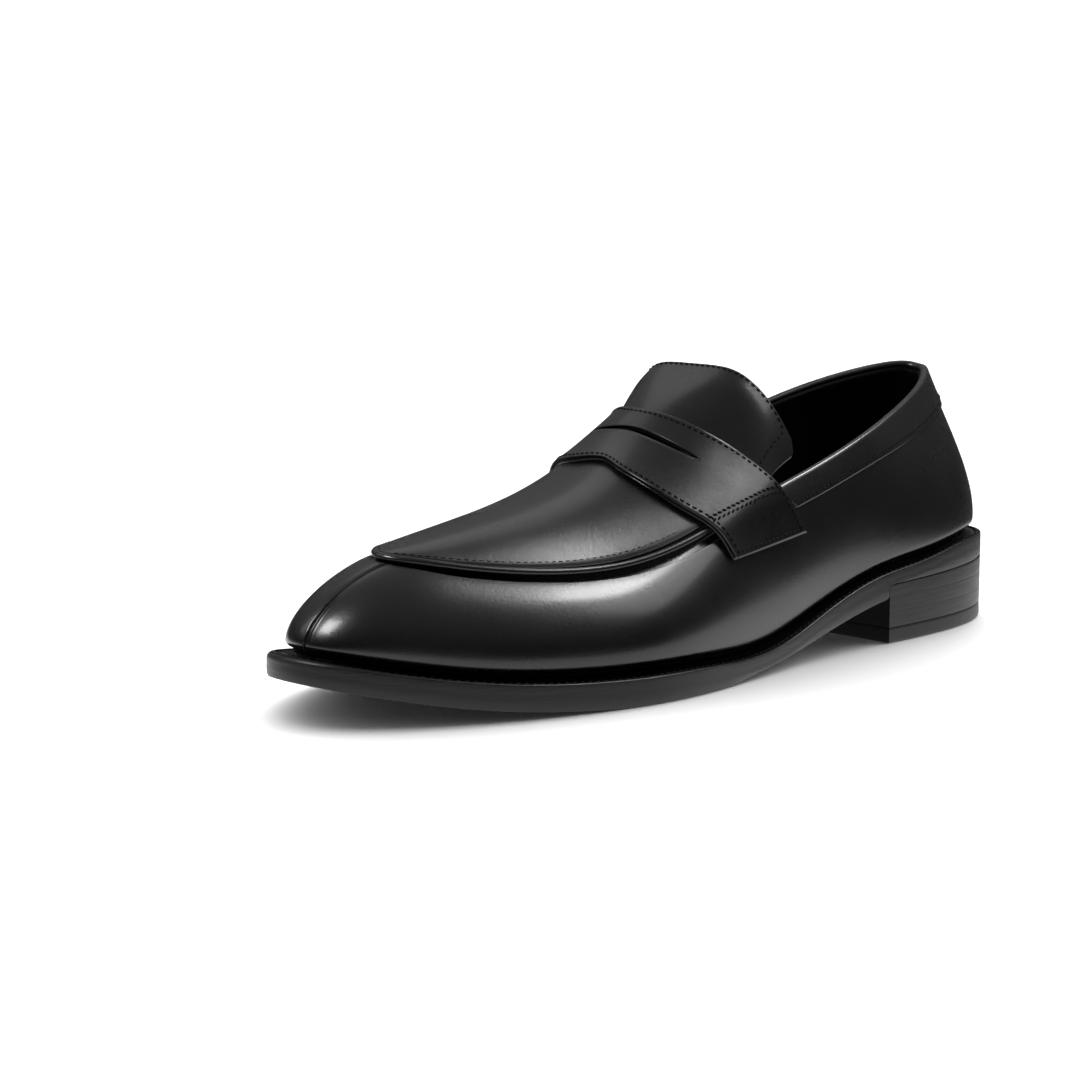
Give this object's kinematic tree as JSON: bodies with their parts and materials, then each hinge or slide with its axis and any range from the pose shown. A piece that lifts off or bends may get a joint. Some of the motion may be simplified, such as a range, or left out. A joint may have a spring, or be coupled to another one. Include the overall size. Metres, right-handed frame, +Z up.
{
  "type": "penny loafer",
  "caption": "Left penny loafer: slip-on shoe with a split-toe apron, a slotted saddle strap, a broad tongue, a welted sole and a low stacked heel.",
  "frame": {"origin": "on the ground, under the middle of the shoe's box", "axes": "+X to the toe, +Y to the wearer's left (the outer side of this left shoe), +Z up"},
  "size_m": [0.2984, 0.1016, 0.0947],
  "materials": {
    "upper_leather": "polished black calf",
    "lining_leather": "matte black lining leather",
    "stiffener": "resin-stiffened cloth",
    "sole_leather": "black inked and waxed edge",
    "rubber": "satin black",
    "insole_board": "undyed",
    "cork": "granulated",
    "steel": "plain",
    "thread": "waxed black thread"
  },
  "bodies": {
    "shoe": {"outer_wall": "upper_leather", "inner_wall": "upper_leather", "apron": "upper_leather", "apron_bead": "upper_leather", "tongue_root": "upper_leather", "saddle_strap": "upper_leather", "collar_band": "upper_leather", "back_strip": "upper_leather", "outer_lining": "lining_leather", "inner_lining": "lining_leather", "apron_lining": "lining_leather", "heel_grip": "lining_leather", "sock_liner": "lining_leather", "toe_puff": "stiffener", "heel_counter": "stiffener", "outsole": "sole_leather", "welt": "sole_leather", "heel_lift_lower": "sole_leather", "heel_lift_middle": "sole_leather", "heel_lift_upper": "sole_leather", "top_lift": "rubber", "insole_board": "insole_board", "cork_filler": "cork", "shank": "steel", "heel_nails": "steel", "welt_stitching": "thread", "toe_seam_stitching": "thread", "apron_stitching": "thread", "strap_stitching": "thread", "collar_stitching": "thread", "back_strip_stitching": "thread"},
    "tongue_flap": {"tongue": "upper_leather", "tongue_lining": "lining_leather", "tongue_stitching": "thread"}
  },
  "joints": [
    {"name": "tongue_flex", "type": "hinge", "parent": "shoe", "child": "tongue_flap", "pos_m": [-0.00825, -0.00155, 0.07], "axis": [0, 1, 0], "range_deg": [-4, 20], "stiffness_Nm_per_rad": 0.1, "deforming": ["tongue_root"]}
  ]
}
